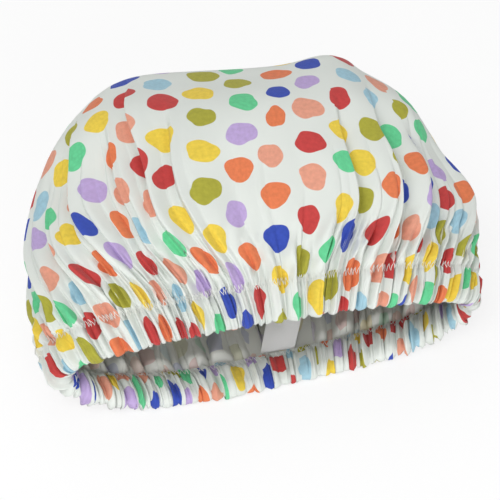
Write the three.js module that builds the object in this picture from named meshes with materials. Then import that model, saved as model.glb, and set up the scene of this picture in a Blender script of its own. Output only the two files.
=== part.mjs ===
// A gathered cloth shower cap, laid on its back with the mouth towards -Y and the back of the cap on Z = 0.
// Its cloth, film lining, hem casing and elastic are split along the two sides of the mouth into a front
// half, which lifts to open the mouth, and a back half, which lies on the ground.
import * as THREE from "three";

// Sheet thicknesses and running gaps, in millimetres
const CLOTH = 0.8;
const FILM = 0.2;
const LAYER_GAP = 0.3;
const SPLIT_GAP = 0.4;
const REST_CUT = 0.5;

// Mouth: half of its width, and where its front, side and back edges stand
const MOUTH_HALF_WIDTH = 117;
const MOUTH_FRONT_Y = -79;
const MOUTH_FRONT_HEIGHT = 50.5;
const MOUTH_SIDE_Y = -71;
const MOUTH_SIDE_HEIGHT = 23;
const MOUTH_BACK_Y = -88;
const HEM_SLOPE_RUN = 17.5;
const HEM_SLOPE_RISE = 17.5;

// Crown: its widest place, its highest place, the crease across its far top and the middle of its far wall
const CROWN_HALF_WIDTH = 134;
const CROWN_WIDEST_Y = -2;
const CROWN_WIDEST_HEIGHT = 37;
const SHOULDER_HALF_WIDTH = 119;
const SHOULDER_Y = 42;
const SHOULDER_HEIGHT = 44;
const FOREHEAD_Y = -22;
const FOREHEAD_HEIGHT = 97;
const CROWN_PEAK_Y = 30;
const CROWN_PEAK_HEIGHT = 112;
const CREASE_Y = 82.5;
const CREASE_HEIGHT = 101.5;
const FAR_WALL_Y = 88;
const FAR_WALL_HEIGHT = 50;
const FAR_CORNER_HALF_WIDTH = 89;
const FAR_CORNER_Y = 73;
const FAR_FOOT_Y = 66;
const FOOT_HEIGHT = 15;
const WALL_BOW = 4;

// Bulge of a cross-section: 2 is an ellipse, and more is squarer
const MOUTH_FRONT_BULGE = 2.3;
const MIDDLE_BULGE = 2.1;
const CREASE_BULGE = 5;
const MOUTH_BACK_BULGE = 2.15;
const CROWN_BACK_BULGE = 3.2;

// Gathers of the hem
const GATHERS_PER_HALF = 24;
const GATHER_DEPTH = 3;
const GATHER_FADE = 48;
const RIM_SCALLOP = 1.6;

// Long folds of the crown: share of the way round at the hem and on the crown, counted from the right side
// over the front, length from the rim to the upper end, and height
const LONG_FOLDS = [
  { foot: 0.034, crown: 0.034, end: 120, height: 4.5 },
  { foot: 0.072, crown: 0.098, end: 130, height: 6 },
  { foot: 0.1, crown: 0.131, end: 150, height: 6.6 },
  { foot: 0.164, crown: 0.168, end: 140, height: 5.2 },
  { foot: 0.274, crown: 0.312, end: 145, height: 5.8 },
  { foot: 0.303, crown: 0.342, end: 178, height: 5.8 },
  { foot: 0.333, crown: 0.368, end: 150, height: 5 },
  { foot: 0.36, crown: 0.408, end: 160, height: 6.6 },
  { foot: 0.408, crown: 0.436, end: 125, height: 6 },
  { foot: 0.466, crown: 0.466, end: 120, height: 4.5 },
];
const FOLD_START = 35;
const FOLD_REACH = 80;
const FOLD_FADE = 55;
const FOLD_VALLEY = 0.6;

// Widths of a long fold's gentle and steep sides, as shares of the way round
const FOLD_SLOPE = 0.043;
const FOLD_DROP = 0.021;
const FRONT_SHARE = 0.25;

// Elastic: a flat band sewn into a loop whose ends lap at the centre back
const ELASTIC_WIDTH = 19;
const ELASTIC_THICKNESS = 1;
const ELASTIC_CLEARANCE = 0.35;
const ELASTIC_EASE = 1.3;
const LAP_GATHERS = 1;
const LAP_RAMP = 2;

// Sewing thread: zigzag height, thread size and stitches
const ZIGZAG_HEIGHT = 4;
const ZIGZAG_FROM_EDGE = 1.2;
const THREAD_WIDTH = 1;
const THREAD_HEIGHT = 0.5;
const THREAD_GAP = 0.7;
const STITCHES_PER_GATHER = 3;
const JOIN_STITCHES = 4;
const JOIN_MARGIN = 3;
const JOIN_INSET = 0.4;

// Folded label, sewn in at the centre back
const LABEL_WIDTH = 20;
const LABEL_LENGTH = 32;
const LABEL_LEAF = 0.4;
const LABEL_FOLD_RADIUS = 0.3;
const LABEL_FROM_SEAM = 1.6;

// Rows of the crown from the gather line to the crease, rows of the far wall, and columns round them
const CROWN_ROWS = [0, 0.08, 0.18, 0.3, 0.44, 0.59, 0.75, 0.9, 1];
const WALL_ROWS = [0.3, 1];
const COLUMNS = 2 * GATHERS_PER_HALF;
const CENTRE_BACK = 3 * GATHERS_PER_HALF;
const RING_SAMPLES = 60;

// Hem: the elastic with its ease inside the turned-in rim, up to the gather line
const ELASTIC_START = RIM_SCALLOP + CLOTH + ELASTIC_EASE;
const HEM_DEPTH = ELASTIC_START + ELASTIC_WIDTH + ELASTIC_EASE;

// Depth of the casing's layers below its outer face
const CAVITY =
  2 * ELASTIC_THICKNESS + 2 * LAYER_GAP + THREAD_HEIGHT + 2 * ELASTIC_CLEARANCE;
const INNER_WALL = CLOTH + CAVITY;
const CASING_DEPTH = INNER_WALL + CLOTH;

// The three guides of the form run from the rim over the edge of the far wall to the wall's middle.
// The edge is two points before the middle: the crease on top, the corner at the side and the foot below.
const GUIDE_DIVISIONS = 60;
function guide(points) {
  const vectors = points.map(([x, y, z]) => new THREE.Vector3(x, y, z));
  const curve = new THREE.CatmullRomCurve3(vectors);
  curve.arcLengthDivisions = GUIDE_DIVISIONS * (points.length - 1);
  const lengths = curve.getLengths();
  const edge = lengths[GUIDE_DIVISIONS * (points.length - 3)];
  return { curve, edge, whole: lengths[lengths.length - 1] };
}

const farWall = [0, FAR_WALL_Y, FAR_WALL_HEIGHT];
const topGuide = guide([
  [0, MOUTH_FRONT_Y, MOUTH_FRONT_HEIGHT],
  [0, MOUTH_FRONT_Y + HEM_SLOPE_RUN, MOUTH_FRONT_HEIGHT + HEM_SLOPE_RISE],
  [0, FOREHEAD_Y, FOREHEAD_HEIGHT],
  [0, CROWN_PEAK_Y, CROWN_PEAK_HEIGHT],
  [0, CREASE_Y, CREASE_HEIGHT],
  [0, FAR_WALL_Y - WALL_BOW / 4, (CREASE_HEIGHT + FAR_WALL_HEIGHT) / 2],
  farWall,
]);
const sideGuide = guide([
  [MOUTH_HALF_WIDTH, MOUTH_SIDE_Y, MOUTH_SIDE_HEIGHT],
  [CROWN_HALF_WIDTH, CROWN_WIDEST_Y, CROWN_WIDEST_HEIGHT],
  [SHOULDER_HALF_WIDTH, SHOULDER_Y, SHOULDER_HEIGHT],
  [FAR_CORNER_HALF_WIDTH, FAR_CORNER_Y, FAR_WALL_HEIGHT],
  [FAR_CORNER_HALF_WIDTH / 2, FAR_WALL_Y - WALL_BOW / 4, FAR_WALL_HEIGHT],
  farWall,
]);
const backGuide = guide([
  [0, MOUTH_BACK_Y, -REST_CUT],
  [0, (MOUTH_BACK_Y + FAR_FOOT_Y) / 2, -REST_CUT],
  [0, FAR_FOOT_Y, -REST_CUT],
  [0, FAR_WALL_Y - WALL_BOW, FOOT_HEIGHT],
  farWall,
]);
const CREASE_LENGTH = topGuide.edge;
const CAP_LENGTH = topGuide.whole;

// Point of a guide at a length from the rim, counted on the top guide and shared out on the others
function guidePoint({ curve, edge, whole }, length) {
  const crown = Math.max(0, length - HEM_DEPTH) / (CREASE_LENGTH - HEM_DEPTH);
  const wall = Math.max(0, length - CREASE_LENGTH) / (CAP_LENGTH - CREASE_LENGTH);
  const toEdge = Math.min(length, HEM_DEPTH) + Math.min(1, crown) * (edge - HEM_DEPTH);
  return curve.getPointAt(Math.min(1, (toEdge + wall * (whole - edge)) / whole));
}

// Quarter of a cross-section from the side point to the top or back point, at an angle of 0 to 90 degrees
function quarterPoint(side, end, bulge, angle) {
  const across = Math.pow(Math.max(0, Math.cos(angle)), 2 / bulge);
  const along = Math.pow(Math.max(0, Math.sin(angle)), 2 / bulge);
  const y = side.y + (end.y - side.y) * along;
  const z = side.z + (end.z - side.z) * along;
  return new THREE.Vector3(side.x * across, y, z);
}

// Half of a cross-section, right to left, as points spread evenly along it
function evenHalf(side, end, bulge) {
  const dense = [];
  for (let i = 0; i <= 2 * RING_SAMPLES; i++) {
    const mirrored = i > RING_SAMPLES;
    const step = mirrored ? 2 * RING_SAMPLES - i : i;
    const point = quarterPoint(side, end, bulge, (step / RING_SAMPLES) * (Math.PI / 2));
    if (mirrored) point.x = -point.x;
    dense.push(point);
  }
  const lengths = [0];
  for (let i = 1; i < dense.length; i++) {
    lengths.push(lengths[i - 1] + dense[i].distanceTo(dense[i - 1]));
  }
  const points = [];
  let at = 1;
  for (let j = 0; j <= COLUMNS; j++) {
    const wanted = (lengths[lengths.length - 1] * j) / COLUMNS;
    while (at < dense.length - 1 && lengths[at] < wanted) at++;
    const share = (wanted - lengths[at - 1]) / (lengths[at] - lengths[at - 1] || 1);
    points.push(dense[at - 1].clone().lerp(dense[at], share));
  }
  return points;
}

// Closed cross-section at a length from the rim: right, over the front, left, and back under the cap
const rings = new Map();
function ring(length) {
  if (!rings.has(length)) {
    const top = guidePoint(topGuide, length);
    const side = guidePoint(sideGuide, length);
    const back = guidePoint(backGuide, length);
    const halfway = (HEM_DEPTH + CREASE_LENGTH) / 2;
    const lowShare = smoothstep(HEM_DEPTH, halfway, length);
    const highShare = smoothstep(halfway, CREASE_LENGTH, length);
    const backShare = smoothstep(0, 2 * HEM_DEPTH, length);
    const lowBulge = MOUTH_FRONT_BULGE + (MIDDLE_BULGE - MOUTH_FRONT_BULGE) * lowShare;
    const frontBulge = lowBulge + (CREASE_BULGE - MIDDLE_BULGE) * highShare;
    const backBulge = MOUTH_BACK_BULGE + (CROWN_BACK_BULGE - MOUTH_BACK_BULGE) * backShare;
    const front = evenHalf(side, top, frontBulge);
    const under = evenHalf(side, back, backBulge).reverse();
    rings.set(length, [...front, ...under.slice(1)]);
  }
  return rings.get(length);
}

// Outward direction of the smooth form at a column of a cross-section
const NORMAL_STEP = 1.5;
function outward(length, column) {
  if (length > CAP_LENGTH - NORMAL_STEP) return new THREE.Vector3(0, 1, 0);
  const round = 2 * COLUMNS;
  const here = ring(length);
  const near = ring(Math.max(0, length - NORMAL_STEP))[column];
  const far = ring(length + NORMAL_STEP)[column];
  const next = here[(column + 1) % round];
  const last = here[(column + round - 1) % round];
  const along = far.clone().sub(near);
  return along.cross(next.clone().sub(last)).normalize();
}

function smoothstep(from, to, value) {
  const share = Math.min(1, Math.max(0, (value - from) / (to - from)));
  return share * share * (3 - 2 * share);
}

// Height of the gathers over the form: every other column is a crest, and they fade out above the hem
function gather(length, column) {
  const fade = 1 - smoothstep(HEM_DEPTH, HEM_DEPTH + GATHER_FADE, length);
  return column % 2 === 0 ? GATHER_DEPTH * fade : 0;
}

// Height of the long folds: a gentle slope up to each line, then a steep drop away from the front
function longFolds(length, column) {
  const above = length - HEM_DEPTH;
  const toFoot = 1 - smoothstep(0, FOLD_REACH, above);
  let height = 0;
  for (const { foot, crown, end, height: size } of LONG_FOLDS) {
    const line = crown + (foot - crown) * toFoot;
    const outwards = crown > FRONT_SHARE ? 1 : -1;
    const apart = column / (2 * COLUMNS) - line;
    const away = (apart - Math.round(apart)) * outwards;
    const slope = 1 - smoothstep(0, FOLD_SLOPE, -away);
    const drop = smoothstep(0, FOLD_DROP, away);
    const valley = drop * (1 - smoothstep(FOLD_DROP, FOLD_SLOPE, away));
    const rise = smoothstep(0, FOLD_START, above) * (1 - smoothstep(end - FOLD_FADE, end, length));
    height += size * rise * ((away < 0 ? slope : 1 - drop) - FOLD_VALLEY * valley);
  }
  return height;
}

// Point of the cap at a length and column, raised over the form and then set in by a depth
function skinPoint(length, column, raised, depth) {
  const normal = outward(length, column);
  const point = ring(length)[column].clone();
  point.addScaledVector(normal, longFolds(length, column) + raised);
  point.z = Math.max(0, point.z);
  return point.addScaledVector(normal, -depth);
}

// Point of the hem, which runs straight from the rim to the gather line
function hemPoint(length, column, raised, depth) {
  const rim = skinPoint(0, column, raised, depth);
  return rim.lerp(skinPoint(HEM_DEPTH, column, raised, depth), length / HEM_DEPTH);
}

// Point between columns, on the straight line from one column to the next
function between(column, pointAt) {
  const low = Math.floor(column);
  const share = column - low;
  const first = pointAt(low % (2 * COLUMNS));
  if (share === 0) return first;
  return first.lerp(pointAt((low + 1) % (2 * COLUMNS)), share);
}

// Closed body from triangles of points, turned to face outwards
function body(triangles) {
  let volume = 0;
  for (const [a, b, c] of triangles) volume += a.dot(b.clone().cross(c));
  const facing = volume < 0 ? triangles.map(([a, b, c]) => [a, c, b]) : triangles;
  const positions = facing.flatMap((corners) => corners.flatMap((p) => p.toArray()));
  const geometry = new THREE.BufferGeometry();
  geometry.setAttribute("position", new THREE.Float32BufferAttribute(positions, 3));
  geometry.computeVertexNormals();
  return geometry;
}

// Two triangles of a quad, without the ones that a shared corner leaves empty
function quad(a, b, c, d) {
  const triangles = [
    [a, b, c],
    [a, c, d],
  ];
  return triangles.filter(([p, q, r]) => p !== q && q !== r && r !== p);
}

// Strip of section loops, open at both ends
function loft(sections) {
  const sides = sections[0].length;
  const triangles = [];
  for (let i = 0; i + 1 < sections.length; i++) {
    for (let j = 0; j < sides; j++) {
      const k = (j + 1) % sides;
      triangles.push(...quad(sections[i][j], sections[i + 1][j], sections[i + 1][k], sections[i][k]));
    }
  }
  return triangles;
}

// Columns of the front and of the back half, right and left edges included
const halfColumns = {
  front: Array.from({ length: COLUMNS + 1 }, (_, j) => j),
  back: Array.from({ length: COLUMNS + 1 }, (_, j) => COLUMNS + j),
};

// Half of a sheet that runs from the gather line to the far wall, between two depths
function sheetHalf(half, outerDepth, innerDepth, gathered) {
  const start = HEM_DEPTH + LAYER_GAP;
  const lengths = [
    ...CROWN_ROWS.map((share) => start + (CREASE_LENGTH - start) * share),
    ...WALL_ROWS.map((share) => CREASE_LENGTH + (CAP_LENGTH - CREASE_LENGTH) * share),
  ];
  const face = (depth, raised) =>
    lengths.map((length, i) => {
      const last = i === lengths.length - 1;
      const shared = last ? skinPoint(length, 0, 0, depth) : null;
      return halfColumns[half].map((column) => {
        const wrapped = column % (2 * COLUMNS);
        return shared || skinPoint(length, wrapped, raised ? gather(length, column) : 0, depth);
      });
    });
  const outer = face(outerDepth, gathered);
  const inner = face(innerDepth, false);
  const triangles = [];
  for (let i = 0; i + 1 < lengths.length; i++) {
    for (let j = 0; j < COLUMNS; j++) {
      triangles.push(...quad(outer[i][j], outer[i + 1][j], outer[i + 1][j + 1], outer[i][j + 1]));
      triangles.push(...quad(inner[i][j], inner[i][j + 1], inner[i + 1][j + 1], inner[i + 1][j]));
    }
    triangles.push(...quad(outer[i][0], inner[i][0], inner[i + 1][0], outer[i + 1][0]));
    const j = COLUMNS;
    triangles.push(...quad(outer[i][j], outer[i + 1][j], inner[i + 1][j], inner[i][j]));
  }
  for (let j = 0; j < COLUMNS; j++) {
    triangles.push(...quad(outer[0][j], outer[0][j + 1], inner[0][j + 1], inner[0][j]));
  }
  return body(triangles);
}

// Half of the hem casing: cloth turned in at the rim round the cavity of the elastic, open at the gather line
function casingHalf(half) {
  const sections = halfColumns[half].map((column) => {
    const wrapped = column % (2 * COLUMNS);
    const crest = gather(0, column);
    const rim = RIM_SCALLOP * (1 - crest / GATHER_DEPTH);
    const at = (length, raised, depth) => hemPoint(length, wrapped, raised, depth);
    return [
      at(HEM_DEPTH, crest, 0),
      at(rim, crest, 0),
      at(rim, 0, CASING_DEPTH + crest),
      at(HEM_DEPTH, 0, CASING_DEPTH + crest),
      at(HEM_DEPTH, 0, INNER_WALL),
      at(RIM_SCALLOP + CLOTH, 0, INNER_WALL),
      at(RIM_SCALLOP + CLOTH, 0, CLOTH),
      at(HEM_DEPTH, 0, CLOTH),
    ];
  });
  const triangles = loft(sections);
  const first = sections[0];
  const last = sections[sections.length - 1];
  const faces = [
    [0, 1, 6, 7],
    [1, 2, 5, 6],
    [2, 3, 4, 5],
  ];
  for (const [a, b, c, d] of faces) {
    triangles.push(...quad(first[a], first[b], first[c], first[d]));
    triangles.push(...quad(last[d], last[c], last[b], last[a]));
  }
  return body(triangles);
}

// Lift of a column of the elastic, which follows the front half across the split
function elasticLift(column) {
  const place = column % (2 * COLUMNS);
  if (place === 0 || place === COLUMNS) return SPLIT_GAP / 2;
  return place < COLUMNS ? SPLIT_GAP : 0;
}

// Elastic: one strip once round the casing from the centre back, its end lapped over its start
const LAP_START = CENTRE_BACK;
const LAP_COLUMNS = 2 * LAP_GATHERS;
const ELASTIC_DEPTH = CLOTH + ELASTIC_CLEARANCE;
function elasticBand() {
  const round = 2 * COLUMNS;
  const sections = [];
  for (let step = 0; step <= round + LAP_COLUMNS; step++) {
    const column = (LAP_START + step) % round;
    const lapped = smoothstep(round - 1 - LAP_RAMP, round - 1, step) * (ELASTIC_THICKNESS + LAYER_GAP);
    const low = ELASTIC_DEPTH + lapped;
    const at = (length, depth) => {
      const point = hemPoint(length, column, 0, depth);
      point.z += elasticLift(column);
      return point;
    };
    sections.push([
      at(ELASTIC_START, low),
      at(ELASTIC_START + ELASTIC_WIDTH, low),
      at(ELASTIC_START + ELASTIC_WIDTH, low + ELASTIC_THICKNESS),
      at(ELASTIC_START, low + ELASTIC_THICKNESS),
    ]);
  }
  const first = sections[0];
  const last = sections[sections.length - 1];
  const triangles = loft(sections);
  triangles.push(...quad(first[0], first[1], first[2], first[3]));
  triangles.push(...quad(last[3], last[2], last[1], last[0]));
  return body(triangles);
}

// Zigzag of thread from one column to another, lying on a face whose depth the caller gives
function zigzag(from, to, stitches, lowLength, highLength, depthAt, height) {
  const steps = 2 * stitches;
  const sections = [];
  for (let step = 0; step <= steps; step++) {
    const column = from + ((to - from) * step) / steps;
    const middle = step % 2 === 0 ? lowLength : highLength;
    const at = (length, rise) =>
      between(column, (whole) => hemPoint(length, whole, 0, depthAt(whole) + rise));
    sections.push([
      at(middle - THREAD_WIDTH / 2, 0),
      at(middle + THREAD_WIDTH / 2, 0),
      at(middle, height),
    ]);
  }
  const first = sections[0];
  const last = sections[sections.length - 1];
  const triangles = loft(sections);
  triangles.push([first[0], first[1], first[2]], [last[2], last[1], last[0]]);
  return body(triangles);
}

const SEAM_HIGH = HEM_DEPTH - ZIGZAG_FROM_EDGE;
const SEAM_LOW = SEAM_HIGH - ZIGZAG_HEIGHT;
const SEAM_STITCHES = STITCHES_PER_GATHER * (GATHERS_PER_HALF - 1);
const innerSeamDepth = (column) => CASING_DEPTH + gather(0, column) + THREAD_GAP;
const outerSeamDepth = (column) => -gather(0, column) - THREAD_GAP;

function seamThread(firstColumn, depthAt, height) {
  const last = firstColumn + COLUMNS - 1;
  return zigzag(firstColumn + 1, last, SEAM_STITCHES, SEAM_LOW, SEAM_HIGH, depthAt, height);
}

// Thread that joins the lapped ends of the elastic
function joinThread() {
  const depth = ELASTIC_DEPTH + 2 * ELASTIC_THICKNESS + 2 * LAYER_GAP;
  const low = ELASTIC_START + JOIN_MARGIN;
  const high = ELASTIC_START + ELASTIC_WIDTH - JOIN_MARGIN;
  const start = LAP_START + JOIN_INSET;
  const end = LAP_START + LAP_COLUMNS - JOIN_INSET;
  return zigzag(start, end, JOIN_STITCHES, low, high, () => depth, THREAD_HEIGHT);
}

// Label: a ribbon folded double, its two cut edges caught in the seam and its fold pointing into the cap
const LINING_DEPTH = CLOTH + LAYER_GAP;
const LABEL_HEIGHT = 2 * (LABEL_LEAF + LABEL_FOLD_RADIUS);
function label() {
  const outer = LABEL_HEIGHT / 2;
  const straight = LABEL_LENGTH - outer;
  const profile = new THREE.Shape();
  profile.moveTo(0, 0);
  profile.lineTo(straight, 0);
  profile.absarc(straight, outer, outer, -Math.PI / 2, Math.PI / 2, false);
  profile.lineTo(0, LABEL_HEIGHT);
  profile.lineTo(0, LABEL_HEIGHT - LABEL_LEAF);
  profile.lineTo(straight, LABEL_HEIGHT - LABEL_LEAF);
  profile.absarc(straight, outer, LABEL_FOLD_RADIUS, Math.PI / 2, -Math.PI / 2, true);
  profile.lineTo(0, LABEL_LEAF);
  profile.closePath();
  const options = { depth: LABEL_WIDTH, bevelEnabled: false, curveSegments: 6 };
  return new THREE.ExtrudeGeometry(profile, options);
}

// Materials
function material(name, color, roughness) {
  return new THREE.MeshStandardMaterial({ name, color, roughness, metalness: 0 });
}

const cloth = () => material("printed_cloth", 0xe6ebe4, 0.8);
const film = () => material("lining_film", 0xd9d8d0, 0.45);
const elastic = () => material("woven_elastic", 0xf2f2ee, 0.75);
const thread = () => material("sewing_thread", 0xf7f7f2, 0.6);
const ribbon = () => material("label_ribbon", 0xfafafa, 0.7);

// Assembly
const cap = new THREE.Group();
const back = new THREE.Group();
const front = new THREE.Group();
front.position.z = SPLIT_GAP;
cap.add(back, front);

function addPiece(group, name, geometry, finish) {
  const mesh = new THREE.Mesh(geometry, finish);
  mesh.name = name;
  group.add(mesh);
  return mesh;
}

for (const [half, group] of Object.entries({ front, back })) {
  const liningInner = LINING_DEPTH + FILM;
  addPiece(group, "crown_" + half, sheetHalf(half, 0, CLOTH, true), cloth());
  addPiece(group, "lining_" + half, sheetHalf(half, LINING_DEPTH, liningInner, false), film());
  addPiece(group, "hem_casing_" + half, casingHalf(half), cloth());
  const innerThread = seamThread(halfColumns[half][0], innerSeamDepth, THREAD_HEIGHT);
  addPiece(group, "casing_thread_inner_" + half, innerThread, thread());
}
const outerThread = seamThread(0, outerSeamDepth, -THREAD_HEIGHT);
addPiece(front, "casing_thread_outer_front", outerThread, thread());
addPiece(back, "elastic_band", elasticBand(), elastic());
addPiece(back, "elastic_join_thread", joinThread(), thread());

const labelMesh = addPiece(back, "care_label", label(), ribbon());
const labelDepth = LINING_DEPTH + FILM + LAYER_GAP;
const labelSeat = skinPoint(HEM_DEPTH + LABEL_FROM_SEAM, CENTRE_BACK, 0, labelDepth);
const labelAxes = new THREE.Matrix4().makeBasis(
  new THREE.Vector3(0, 1, 0),
  new THREE.Vector3(0, 0, 1),
  new THREE.Vector3(1, 0, 0),
);
labelMesh.setRotationFromMatrix(labelAxes);
labelMesh.position.set(-LABEL_WIDTH / 2, labelSeat.y, labelSeat.z);

export default cap;
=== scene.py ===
import math
from collections import namedtuple

import bmesh
import bpy
import numpy as np
from bpy.props import FloatProperty, FloatVectorProperty, IntProperty, PointerProperty
from bpy.types import Operator, Panel, PropertyGroup
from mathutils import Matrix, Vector


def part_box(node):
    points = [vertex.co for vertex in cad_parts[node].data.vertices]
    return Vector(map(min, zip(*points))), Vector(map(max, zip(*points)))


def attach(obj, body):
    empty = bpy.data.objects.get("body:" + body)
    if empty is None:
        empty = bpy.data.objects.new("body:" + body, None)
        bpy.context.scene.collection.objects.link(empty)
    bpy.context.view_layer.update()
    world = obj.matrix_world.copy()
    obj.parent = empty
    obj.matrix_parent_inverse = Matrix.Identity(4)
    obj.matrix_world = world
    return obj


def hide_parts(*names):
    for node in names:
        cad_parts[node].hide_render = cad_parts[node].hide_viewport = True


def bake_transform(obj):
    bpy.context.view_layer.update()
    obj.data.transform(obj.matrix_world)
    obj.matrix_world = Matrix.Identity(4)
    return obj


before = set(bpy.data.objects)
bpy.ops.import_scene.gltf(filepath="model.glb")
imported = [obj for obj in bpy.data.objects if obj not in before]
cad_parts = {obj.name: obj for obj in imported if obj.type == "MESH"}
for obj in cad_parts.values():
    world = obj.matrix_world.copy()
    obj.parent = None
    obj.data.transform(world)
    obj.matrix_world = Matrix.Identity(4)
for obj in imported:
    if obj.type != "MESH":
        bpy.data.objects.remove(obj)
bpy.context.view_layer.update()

bl_info = {
    "name": "Gathered Shower Cap",
    "version": (1, 0, 0),
    "blender": (4, 5, 0),
    "location": "3D View > Sidebar > Shower Cap",
    "description": "Printed cloth, lining, elastic, stitching and label of a gathered shower cap",
    "category": "Object",
}

# Names of the halves of the cap that pieces hang from
BACK, FRONT = "back_half", "front_half"


def length_property(name, description, default):
    return FloatProperty(
        name=name, description=description, default=default, unit="LENGTH", subtype="DISTANCE", precision=5
    )


def place_property(name, description, default):
    return FloatVectorProperty(
        name=name, description=description, default=default, unit="LENGTH", subtype="TRANSLATION", precision=4
    )


def number_property(name, description, default):
    return FloatProperty(name=name, description=description, default=default)


def colour_property(name, description, default):
    return FloatVectorProperty(
        name=name, description=description, default=default, subtype="COLOR", size=3, min=0.0, max=1.0
    )


class CapForm(PropertyGroup):
    """Places that the smooth form of the cap runs through"""

    mouth_front: place_property("Front Rim", "Middle of the front rim", (0, -0.079, 0.0505))
    hem_front: place_property("Front Hem", "Top of the front hem", (0, -0.0615, 0.068))
    forehead: place_property("Forehead", "Front panel over the forehead", (0, -0.022, 0.097))
    peak: place_property("Peak", "Highest place of the crown", (0, 0.030, 0.112))
    crease: place_property("Crease", "Middle of the crease across the far top", (0, 0.0825, 0.0995))
    far_wall: place_property("Far Wall", "Middle of the far wall", (0, 0.088, 0.050))
    mouth_side: place_property("Side Rim", "Right end of the mouth", (0.120, -0.071, 0.023))
    widest: place_property("Widest", "Widest place of the crown", (0.1315, -0.002, 0.037))
    shoulder: place_property("Shoulder", "Side of the crown before the far corner", (0.119, 0.042, 0.044))
    far_corner: place_property("Far Corner", "Corner of the far wall", (0.083, 0.073, 0.050))
    mouth_back: place_property("Back Rim", "Middle of the back rim", (0, -0.0850, -0.0005))
    foot: place_property("Foot", "Far end of the part that lies down", (0, 0.066, -0.0005))
    foot_rise: place_property("Foot Rise", "Low part of the far wall", (0, 0.084, 0.015))
    mouth_bulge: number_property("Mouth Bulge", "Squareness of the front rim", 2.3)
    middle_bulge: number_property("Middle Bulge", "Squareness halfway up the crown", 2.1)
    crease_bulge: number_property("Crease Bulge", "Squareness at the crease", 5.0)
    under_bulge: number_property("Under Bulge", "Squareness of the back half", 3.2)
    mouth_turn: number_property("Mouth Turn", "Slant of the front rim", 0.04)
    rear_turn: number_property("Rear Turn", "Slant of the back rim", 0.10)
    crease_turn: number_property("Crease Turn", "Slant of the crease", -0.05)
    crown_aside: length_property("Crown Aside", "How far the crown leans to the right", 0.0010)
    corner_rise: length_property("Corner Rise", "How far the right end of the crease stands up", 0.0060)


class CapFolds(PropertyGroup):
    """Hem and folds of the cloth"""

    columns: IntProperty(name="Columns", description="Mesh columns round the cap", default=1440, min=96)
    gathers: IntProperty(name="Gathers", description="Small gathers round the hem", default=288, min=16)
    seed: IntProperty(name="Seed", description="Arrangement of the folds", default=7)
    hem_depth: length_property("Hem Depth", "Rim to gather line", 0.024)
    stitch_line: length_property("Stitch Line", "Rim to the middle of the zigzag seam", 0.0208)
    casing_thickness: length_property("Casing Thickness", "Between the two layers of the hem", 0.0052)
    casing_room: length_property("Casing Room", "Least room between the two layers of the hem", 0.0020)
    gather_depth: length_property("Gather Depth", "Height of a hem gather", 0.0038)
    pleat_depth: length_property("Pleat Depth", "Height of a pleat above the hem", 0.0050)
    fold_depth: length_property("Fold Depth", "Height of a small fold on the crown", 0.0036)
    drop_width: length_property("Drop Width", "Width of the steep side of a long fold", 0.0042)
    slope_width: length_property("Slope Width", "Width of the gentle side of a long fold", 0.026)
    fan_out: number_property("Fan Out", "How far the front cloth spreads", 1.0)
    rear_depth: length_property("Rear Depth", "Height of a fold of the part that lies down", 0.0052)
    rim_scallop: length_property("Rim Scallop", "How far a crease draws the rim in", 0.0016)
    crumple: length_property("Crumple", "Height of the small wrinkles near the hem", 0.0007)
    floor_gap: length_property("Floor Gap", "Lowest place of the cloth", 0.0006)
    lining_gap: length_property("Lining Gap", "Cloth to lining", 0.0007)
    stitch_height: length_property("Stitch Height", "Height of the zigzag", 0.0042)
    stitch_pitch: length_property("Stitch Pitch", "One zigzag along the cloth", 0.0031)
    thread: length_property("Thread", "Thickness of the sewing thread", 0.00034)


class CapPrint(PropertyGroup):
    """Print of the cloth"""

    pitch: length_property("Pitch", "Spacing of the dots", 0.0224)
    dot: length_property("Dot", "Width of a dot", 0.0160)
    ground: colour_property("Ground", "Cloth between the dots", (0.74, 0.775, 0.735))
    film: colour_property("Film", "Lining between the ghosted dots", (0.80, 0.81, 0.76))


class CapStage(PropertyGroup):
    """Camera of the picture"""

    azimuth: FloatProperty(
        name="Azimuth", description="Camera round the cap", default=math.radians(-10.5), subtype="ANGLE"
    )
    elevation: FloatProperty(
        name="Elevation", description="Camera above the floor", default=math.radians(45), subtype="ANGLE"
    )
    distance: length_property("Distance", "Camera to its aim", 0.9)
    aim: place_property("Aim", "What the camera points at", (-0.0016, -0.0086, 0.0363))
    lens: number_property("Lens", "Focal length in millimetres", 110.5)


# Smooth form


def smooth(low, high, value):
    share = np.clip((value - low) / (high - low), 0, 1)
    return share * share * (3 - 2 * share)


def run_along(points):
    """Length from the first of a row of points to each of them."""
    return np.r_[0, np.cumsum(np.linalg.norm(np.diff(points, axis=0), axis=1))]


def places_at(lengths, run, points):
    """Places at lengths along a row of points."""
    return np.stack([np.interp(lengths, run, points[:, k]) for k in range(3)], -1)


def steps_round(ring):
    """Length from each point of a closed ring to the next."""
    return np.linalg.norm(np.roll(ring, -1, 0) - ring, axis=1)


def share_apart(shares, share):
    """How far shares of the way round lie from another one, the shorter way."""
    return (shares - share + 0.5) % 1.0 - 0.5


def unit(vectors):
    """The same directions with a length of 1."""
    return vectors / np.maximum(np.linalg.norm(vectors, axis=-1, keepdims=True), 1e-12)


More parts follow.
